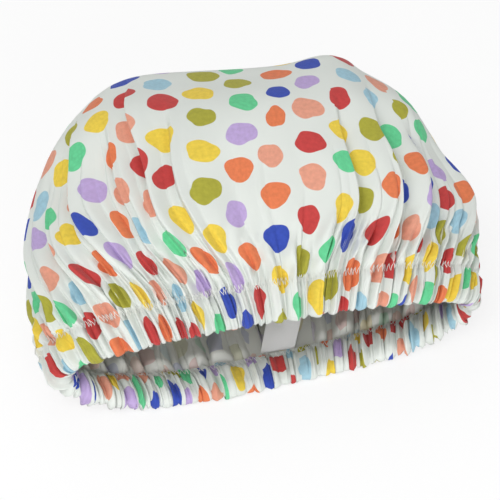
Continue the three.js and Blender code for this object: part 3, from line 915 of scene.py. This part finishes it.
def printed_dots(shader, settings):
    """Share of dot and colour of dot at each place of the flat cloth: jittered rows of pebble-shaped dots."""
    s = shader
    where = s.tree.nodes.new("ShaderNodeUVMap")
    where.uv_map = "cut"
    soft = s.add("ShaderNodeTexNoise", Vector=where.outputs[0], Scale=130.0, Detail=1.0)
    shifted = s.add("ShaderNodeVectorMath")
    shifted.operation = "MULTIPLY_ADD"
    s.feed(shifted.inputs[0], soft.outputs["Color"])
    shifted.inputs[1].default_value = (0.0010, 0.0010, 0.0)
    s.feed(shifted.inputs[2], where.outputs[0])
    turned = s.add("ShaderNodeMapping", Vector=shifted.outputs[0])
    turned.inputs["Rotation"].default_value = (0, 0, 0.35)
    apart = s.add("ShaderNodeSeparateXYZ", Vector=turned.outputs[0])
    across, along = settings.pitch * 1.06, settings.pitch * 0.93
    rows = s.math("DIVIDE", apart.outputs[1], along)
    row = s.math("FLOOR", rows)
    stagger = s.math("MULTIPLY", s.math("FLOORED_MODULO", row, 2.0), 0.5)
    columns = s.math("ADD", s.math("DIVIDE", apart.outputs[0], across), stagger)
    column = s.math("FLOOR", columns)
    cell = s.add("ShaderNodeCombineXYZ", X=column, Y=row, Z=0.5)
    chance = s.add("ShaderNodeTexWhiteNoise", Vector=cell.outputs[0])
    one = s.add("ShaderNodeSeparateColor", Color=chance.outputs["Color"])
    other_cell = s.add("ShaderNodeCombineXYZ", X=row, Y=column, Z=7.5)
    other = s.add("ShaderNodeTexWhiteNoise", Vector=other_cell.outputs[0])
    two = s.add("ShaderNodeSeparateColor", Color=other.outputs["Color"])
    room = settings.pitch - settings.dot
    aside = s.math("MULTIPLY", s.math("SUBTRACT", one.outputs[0], 0.5), room * 0.8)
    ahead = s.math("MULTIPLY", s.math("SUBTRACT", one.outputs[1], 0.5), room * 0.6)
    in_column = s.math("SUBTRACT", s.math("FRACT", columns), 0.5)
    in_row = s.math("SUBTRACT", s.math("FRACT", rows), 0.5)
    x = s.math("SUBTRACT", s.math("MULTIPLY", in_column, across), aside)
    y = s.math("SUBTRACT", s.math("MULTIPLY", in_row, along), ahead)
    angle = s.math("ARCTAN2", y, x)
    reach = s.math("SQRT", s.math("ADD", s.math("MULTIPLY", x, x), s.math("MULTIPLY", y, y)))
    radius = s.spread(two.outputs[0], 0.0, 1.0, settings.dot * 0.46, settings.dot * 0.53)
    lumps = 1.0
    phases = (one.outputs[2], two.outputs[1], two.outputs[2])
    for turns, size, phase in zip((2.0, 3.0, 5.0), (0.09, 0.06, 0.03), phases):
        wave = s.math("COSINE", s.math("MULTIPLY_ADD", angle, turns, s.math("MULTIPLY", phase, 6.283)))
        lumps = s.math("MULTIPLY_ADD", wave, size, lumps)
    outline = s.math("MULTIPLY", radius, lumps)
    inside = s.spread(s.math("SUBTRACT", outline, reach), -0.00018, 0.00018, kind="SMOOTHSTEP")
    pick = s.math("MULTIPLY_ADD", column, 0.381966, s.math("MULTIPLY", row, 0.7236))
    pick = s.math("FRACT", s.math("MULTIPLY_ADD", one.outputs[2], 0.13, pick))
    ramp = s.tree.nodes.new("ShaderNodeValToRGB")
    ramp.color_ramp.interpolation = "CONSTANT"
    stops = ramp.color_ramp.elements
    for index, colour in enumerate(DOT_COLOURS):
        stop = stops[index] if index < 2 else stops.new(index / len(DOT_COLOURS))
        stop.position = index / len(DOT_COLOURS)
        stop.color = rgba(colour)
    s.feed(ramp.inputs[0], pick)
    return where.outputs[0], inside, ramp.outputs[0]


def printed_cloth(settings):
    s = Shader("printed_cloth")
    flat, inside, dot = printed_dots(s, settings)
    mottle = s.add("ShaderNodeTexNoise", Vector=flat, Scale=420.0, Detail=3.0)
    worn = s.spread(mottle.outputs[0], 0.3, 0.7, 0.90, 1.06)
    ink = s.mix(1.0, dot, s.add("ShaderNodeCombineXYZ", X=worn, Y=worn, Z=worn).outputs[0], "MULTIPLY")
    drift = s.add("ShaderNodeTexNoise", Vector=flat, Scale=14.0, Detail=2.0)
    pale = tuple(min(1.0, c * 1.06) for c in settings.ground)
    ground = s.mix(s.spread(drift.outputs[0], 0.35, 0.65), rgba(settings.ground), rgba(pale))
    colour = s.mix(inside, ground, ink)
    weave = woven(s, flat, 1500.0)
    s.bump(weave, 0.22, 0.0003)
    s.let_light_through(colour, 0.14)
    return s.finish(
        Base_Color=colour, Roughness=0.78, Sheen_Weight=0.18, Sheen_Roughness=0.4, Specular_IOR_Level=0.3
    )


def woven(shader, where, threads):
    """Height of a plain weave with that many thread rounds in a metre."""
    s = shader
    apart = s.add("ShaderNodeSeparateXYZ", Vector=where)
    warp = s.math("SINE", s.math("MULTIPLY", apart.outputs[0], threads * 2 * math.pi))
    weft = s.math("SINE", s.math("MULTIPLY", apart.outputs[1], threads * 2 * math.pi))
    return s.math("MULTIPLY", warp, weft)


def lining_film(settings):
    s = Shader("lining_film")
    flat, inside, dot = printed_dots(s, settings)
    ghost = s.mix(0.30, rgba(settings.film), dot)
    colour = s.mix(inside, rgba(settings.film), ghost)
    crinkle = s.add("ShaderNodeTexNoise", Vector=flat, Scale=260.0, Detail=4.0)
    s.bump(crinkle.outputs[0], 0.10, 0.0006)
    s.let_light_through(colour, 0.12)
    return s.finish(Base_Color=colour, Roughness=0.42, Specular_IOR_Level=0.4)


def white_thread():
    s = Shader("white_thread")
    return s.finish(Base_Color=(0.80, 0.81, 0.77, 1), Roughness=0.55, Sheen_Weight=0.2)


def elastic_weave():
    s = Shader("elastic_weave")
    where = s.add("ShaderNodeTexCoord").outputs["Object"]
    ribs = s.add("ShaderNodeTexWave", Vector=where, Scale=160.0, Distortion=0.4)
    s.bump(ribs.outputs[1], 0.4, 0.0004)
    return s.finish(Base_Color=(0.82, 0.82, 0.79, 1), Roughness=0.7)


def label_ribbon():
    s = Shader("label_ribbon")
    where = s.add("ShaderNodeTexCoord").outputs["Object"]
    s.bump(woven(s, where, 1300.0), 0.25, 0.0003)
    return s.finish(Base_Color=(0.98, 0.98, 0.98, 1), Roughness=0.5, Sheen_Weight=0.3)


# Pieces


class CAP_OT_cloth(Operator):
    """Makes the gathered cap cloth, which turns in at the rim to form the hem casing"""

    bl_idname = "shower_cap.cloth"
    bl_label = "Cap Cloth"

    def execute(self, context):
        cloth = cloth_grid(context.scene)
        mesh = grid_mesh("cap_cloth", cloth.points, cloth.print_left, cloth.print_right)
        turn_outwards(mesh)
        obj = add_piece("cap_cloth", mesh, printed_cloth(context.scene.cap_print))
        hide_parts("crown_front", "crown_back", "hem_casing_front", "hem_casing_back")
        follow_halves(obj)
        return {"FINISHED"}


class CAP_OT_lining(Operator):
    """Makes the film lining inside the cloth, from under the turned-in hem to the far wall"""

    bl_idname = "shower_cap.lining"
    bl_label = "Lining"

    def execute(self, context):
        cloth = cloth_grid(context.scene)
        first = cloth.first_outer + 6
        points = cloth.points[first:] - cloth.normal[first:] * context.scene.cap_folds.lining_gap
        points[-1] = points[-1].mean(0)
        mesh = grid_mesh("lining", points, cloth.print_left[first:], cloth.print_right[first:])
        turn_outwards(mesh)
        obj = add_piece("lining", mesh, lining_film(context.scene.cap_print))
        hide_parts("lining_front", "lining_back")
        follow_halves(obj)
        return {"FINISHED"}


class CAP_OT_stitching(Operator):
    """Sews the zigzag thread round the casing, outside and inside"""

    bl_idname = "shower_cap.stitching"
    bl_label = "Casing Stitching"

    def execute(self, context):
        cloth = cloth_grid(context.scene)
        material = white_thread()
        inner = ["casing_thread_inner_front", "casing_thread_inner_back"]
        for name, turned_in, nodes in (
            ("casing_thread_outside", False, ["casing_thread_outer_front"]),
            ("casing_thread_inside", True, inner),
        ):
            mesh = thread_mesh(name, zigzag(cloth, turned_in), cloth.folds.thread / 2, closed=True)
            obj = add_piece(name, mesh, material)
            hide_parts(*nodes)
            follow_halves(obj)
        return {"FINISHED"}


class CAP_OT_elastic(Operator):
    """Makes the flat elastic in the casing, lapped at the centre back, and the thread that joins its ends"""

    bl_idname = "shower_cap.elastic"
    bl_label = "Elastic"

    def execute(self, context):
        cloth = cloth_grid(context.scene)
        start = 0.75
        lap = round(0.016 * cloth.columns) / cloth.columns
        apart, join_above = 0.13, 0.25
        join_low, join_height, join_legs = 0.0055, 0.0110, 16
        lengths = np.linspace(0.0026, 0.0182, 6)

        def in_casing(share, length, side):
            outer = cloth.on_hem(share, length, 0)
            inner = cloth.on_hem(share, length, 0, turned_in=True)
            return outer + (inner - outer) * (0.5 + side)

        steps = np.linspace(0, 1 + lap, round((1 + lap) * cloth.columns) + 1)
        rows = []
        for length in lengths:
            rows.append([in_casing(start + s, length, apart * (2 * s / (1 + lap) - 1)) for s in steps])
        mesh = strip_mesh("elastic", rows, thickness=0.0005)
        elastic = add_piece("elastic", mesh, elastic_weave())
        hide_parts("elastic_band")
        follow_halves(elastic)
        path = []
        for step in np.linspace(0, join_legs, 6 * join_legs + 1):
            up = 1 - abs(step % 2 - 1)
            path.append(in_casing(start + lap * step / join_legs, join_low + join_height * up, join_above))
        mesh = thread_mesh("elastic_join", path, cloth.folds.thread / 2, closed=False)
        join = add_piece("elastic_join", mesh, white_thread())
        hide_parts("elastic_join_thread")
        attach(join, BACK)
        return {"FINISHED"}


class CAP_OT_label(Operator):
    """Makes the folded bare label, caught in the casing seam at the centre back"""

    bl_idname = "shower_cap.label"
    bl_label = "Label"

    def execute(self, context):
        low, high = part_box("care_label")
        width, reach = high[0] - low[0], high[1] - low[1]
        fold, root, lift = 0.0011, 0.0035, 0.0004
        rise, wave, sag = 0.0085, 0.0012, 0.0016
        aside, swing, flare = 0.0040, 0.0120, 0.05
        profile = [(along, 0.0) for along in np.linspace(root, reach - fold, 14)]
        for turn in np.linspace(-80, 80, 9):
            angle = math.radians(turn)
            profile.append((reach - fold + fold * math.cos(angle), fold * (1 + math.sin(angle))))
        profile += [(along, 2 * fold) for along in np.linspace(reach - fold, root, 14)]
        rows = []
        for along, up in profile:
            share = along / reach
            row = []
            for across in np.linspace(-0.5, 0.5, 13):
                curl = rise * share**2 + wave * share * math.sin(5 * across + 1.0)
                thin = 0.2 + 0.8 * smooth(0, 0.5, share)
                x = across * width * (1 + flare * share) + aside + swing * share
                row.append((x, low[1] + along - sag * share**2, low[2] + lift + curl + up * thin))
            rows.append(row)
        label = add_piece("label", strip_mesh("label", rows), label_ribbon())
        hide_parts("care_label")
        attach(label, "label")
        return {"FINISHED"}


class CAP_OT_stage(Operator):
    """Makes the floor, the light and the camera"""

    bl_idname = "shower_cap.stage"
    bl_label = "Stage"

    def execute(self, context):
        scene = context.scene
        s = scene.cap_stage
        bm = bmesh.new()
        bmesh.ops.create_grid(bm, x_segments=1, y_segments=1, size=3.0)
        mesh = bpy.data.meshes.new("floor")
        bm.to_mesh(mesh)
        bm.free()
        link_object("floor", mesh)
        shade = Shader("floor")
        mesh.materials.append(shade.finish(Base_Color=(0.94, 0.94, 0.94, 1), Roughness=0.9))
        white = shade.add("ShaderNodeEmission", Color=(1, 1, 1, 1), Strength=1.0)
        seen = shade.add("ShaderNodeLightPath").outputs["Is Camera Ray"]
        share = shade.math("MULTIPLY", seen, 0.78)
        mix_shaders(shade.tree, share, shade.surface.outputs[0], white.outputs[0], "Material Output")
        lamps = (
            ("key_light", (-0.55, -0.55, 1.15), 0.9, 9.0),
            ("fill_light", (0.15, -1.2, 0.36), 0.8, 7.0),
            ("back_light", (0.1, 1.0, 0.9), 0.9, 3.2),
        )
        for name, place, size, power in lamps:
            lamp = bpy.data.lights.new(name, "AREA")
            lamp.size = size
            lamp.energy = power
            obj = link_object(name, lamp)
            obj.location = place
            obj.rotation_euler = (Vector((0, 0, 0.04)) - Vector(place)).to_track_quat("-Z", "Y").to_euler()
        world = bpy.data.worlds.new("studio")
        scene.world = world
        world.use_nodes = True
        nodes = world.node_tree.nodes
        light, backdrop = nodes["Background"], nodes.new("ShaderNodeBackground")
        for node, strength in ((light, 0.46), (backdrop, 1.0)):
            node.inputs[0].default_value = (1, 1, 1, 1)
            node.inputs[1].default_value = strength
        seen = nodes.new("ShaderNodeLightPath").outputs["Is Camera Ray"]
        mix_shaders(world.node_tree, seen, light.outputs[0], backdrop.outputs[0], "World Output")
        lens = bpy.data.cameras.new("camera")
        lens.lens = s.lens
        camera = link_object("camera", lens)
        a, e = s.azimuth, s.elevation
        back = Vector((math.sin(a) * math.cos(e), -math.cos(a) * math.cos(e), math.sin(e)))
        camera.location = Vector(s.aim) + back * s.distance
        camera.rotation_euler = (-back).to_track_quat("-Z", "Y").to_euler()
        scene.camera = camera
        scene.view_settings.view_transform = "Standard"
        return {"FINISHED"}


class CAP_PT_sidebar(Panel):
    """Lists the pieces of the cap"""

    bl_idname = "CAP_PT_sidebar"
    bl_label = "Shower Cap"
    bl_space_type = "VIEW_3D"
    bl_region_type = "UI"
    bl_category = "Shower Cap"

    def draw(self, context):
        for piece in PIECES:
            self.layout.operator(piece.bl_idname)


SETTINGS = {"cap_form": CapForm, "cap_folds": CapFolds, "cap_print": CapPrint, "cap_stage": CapStage}
PIECES = [CAP_OT_cloth, CAP_OT_lining, CAP_OT_stitching, CAP_OT_elastic, CAP_OT_label, CAP_OT_stage]


def register():
    for cls in [*SETTINGS.values(), *PIECES, CAP_PT_sidebar]:
        bpy.utils.register_class(cls)
    for name, cls in SETTINGS.items():
        setattr(bpy.types.Scene, name, PointerProperty(type=cls))


def unregister():
    for name in SETTINGS:
        delattr(bpy.types.Scene, name)
    for cls in reversed([*SETTINGS.values(), *PIECES, CAP_PT_sidebar]):
        bpy.utils.unregister_class(cls)


def main():
    register()
    bpy.ops.shower_cap.cloth()
    bpy.ops.shower_cap.lining()
    bpy.ops.shower_cap.stitching()
    bpy.ops.shower_cap.elastic()
    bpy.ops.shower_cap.label()
    bpy.ops.shower_cap.stage()


if __name__ == "__main__":
    main()
